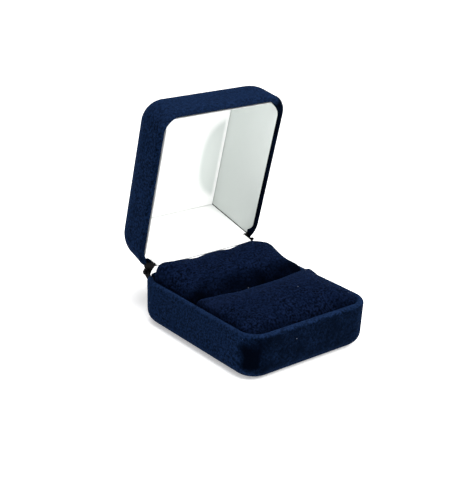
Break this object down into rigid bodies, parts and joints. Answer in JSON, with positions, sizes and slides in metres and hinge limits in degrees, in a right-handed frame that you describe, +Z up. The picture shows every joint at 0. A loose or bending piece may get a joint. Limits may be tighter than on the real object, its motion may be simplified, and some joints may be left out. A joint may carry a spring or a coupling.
{
  "type": "ring box",
  "caption": "Small velour-covered ring box with rounded corners, a snap-hinged lid lined in white satin and two crowned ring cushions with a slit between them.",
  "frame": {"origin": "middle of the base's flat underside", "axes": "+Z up, -Y the front where the lid opens, +Y the hinge side, +X to the right seen from the front"},
  "size_m": [0.048, 0.0691, 0.0697],
  "materials": {
    "velour": "navy flocked velour, soft short nap",
    "cushion_velour": "navy velour, soft short nap",
    "black_steel": "black japanned pressed steel",
    "spring_steel": "bare spring steel",
    "white_satin": "white satin laminated to card",
    "card": "grey-brown pasteboard",
    "foam": "soft cream foam or wadding"
  },
  "bodies": {
    "base": {"base_cover": "velour", "base_shell": "black_steel", "pad_board": "card", "rear_pad_foam": "foam", "rear_pad_cover": "cushion_velour", "front_pad_foam": "foam", "front_pad_cover": "cushion_velour", "snap_spring": "spring_steel", "spring_rivet_left": "spring_steel", "spring_rivet_right": "spring_steel", "hinge_pin_left": "black_steel", "hinge_pin_right": "black_steel"},
    "lid": {"lid_cover": "velour", "lid_shell": "black_steel", "ceiling_card": "card", "ceiling_wadding": "foam", "ceiling_satin": "white_satin", "liner_left_flap": "white_satin", "liner_right_flap": "white_satin", "liner_front_flap": "white_satin", "liner_rear_flap": "white_satin"}
  },
  "joints": [
    {"name": "lid_hinge", "type": "hinge", "parent": "base", "child": "lid", "pos_m": [0, 0.02781, 0.01465], "axis": [1, 0, 0], "range_deg": [0, 77.25]}
  ]
}
